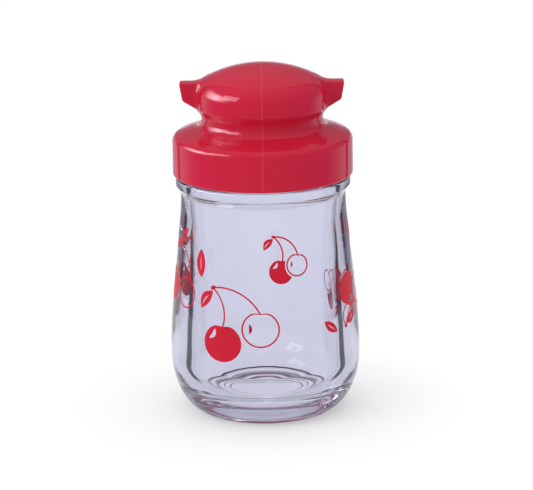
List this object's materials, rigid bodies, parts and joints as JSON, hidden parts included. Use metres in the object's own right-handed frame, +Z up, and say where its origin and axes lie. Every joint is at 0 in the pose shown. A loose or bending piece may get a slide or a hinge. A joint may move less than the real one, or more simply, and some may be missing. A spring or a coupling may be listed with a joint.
{
  "type": "condiment dispenser",
  "caption": "Thick clear glass jar with a flared heel and a red screw cap: a low domed pouring head whose small spouts point out at opposite sides.",
  "frame": {"origin": "centre of the jar's foot, on the surface that it stands on", "axes": "+Z up along the jar's axis; +X out along one spout, -X along the other; the printed front faces -Y"},
  "size_m": [0.064, 0.064, 0.1185],
  "materials": {
    "jar_glass": "clear polished glass",
    "ring_seal": "matt off-white",
    "collar_plastic": "gloss cherry red",
    "head_plastic": "gloss cherry red"
  },
  "bodies": {
    "jar": {"glass_jar": "jar_glass"},
    "ring": {"sealing_ring": "ring_seal"},
    "cap": {"screw_collar": "collar_plastic", "spout_head": "head_plastic"}
  },
  "joints": [
    {"name": "cap_lift", "type": "slide", "parent": "jar", "child": "ring", "axis": [0, 0, 1], "range_m": [0, 0.0047]},
    {"name": "cap_turn", "type": "hinge", "parent": "ring", "child": "cap", "pos_m": [0, 0, 0.094], "axis": [0, 0, 1], "range_deg": [0, 400]}
  ],
  "couplings": [
    {"joint": "cap_lift", "follows": "cap_turn", "m_per_rad": 0.00066845}
  ]
}
